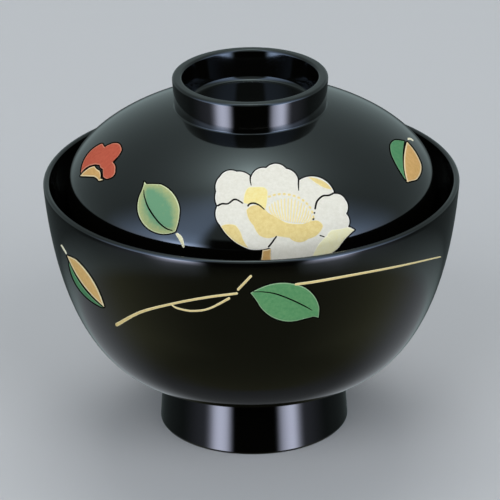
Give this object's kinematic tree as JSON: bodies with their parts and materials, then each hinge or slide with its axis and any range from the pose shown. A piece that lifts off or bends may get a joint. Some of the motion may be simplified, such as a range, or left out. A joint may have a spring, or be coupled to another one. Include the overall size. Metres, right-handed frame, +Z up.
{
  "type": "lidded soup bowl",
  "caption": "Round lacquered soup bowl on a ring foot, with a domed lid that drops inside the rim and lifts off by a ring knob.",
  "frame": {"origin": "centre of the ring that the bowl stands on, at table height", "axes": "+Z up along the axis of turning, -Y towards the painted front of the bowl and lid"},
  "size_m": [0.12, 0.12, 0.1075],
  "materials": {
    "black_lacquer": "high gloss",
    "wood": "bare turned wood under the lacquer",
    "silver_powder": "satin silver powder under clear lacquer",
    "gold_powder": "satin gold powder",
    "green_lacquer": "satin coloured lacquer",
    "vermilion_lacquer": "satin coloured lacquer"
  },
  "bodies": {
    "bowl": {"bowl_core": "wood", "bowl_outer_lacquer": "black_lacquer", "bowl_inner_lacquer": "black_lacquer"},
    "lid": {"lid_core": "wood", "lid_outer_lacquer": "black_lacquer", "lid_inner_lacquer": "black_lacquer"}
  },
  "joints": [
    {"name": "lid_lift", "type": "slide", "parent": "bowl", "child": "lid", "axis": [0, 0, 1], "range_m": [0, 0.1]}
  ]
}
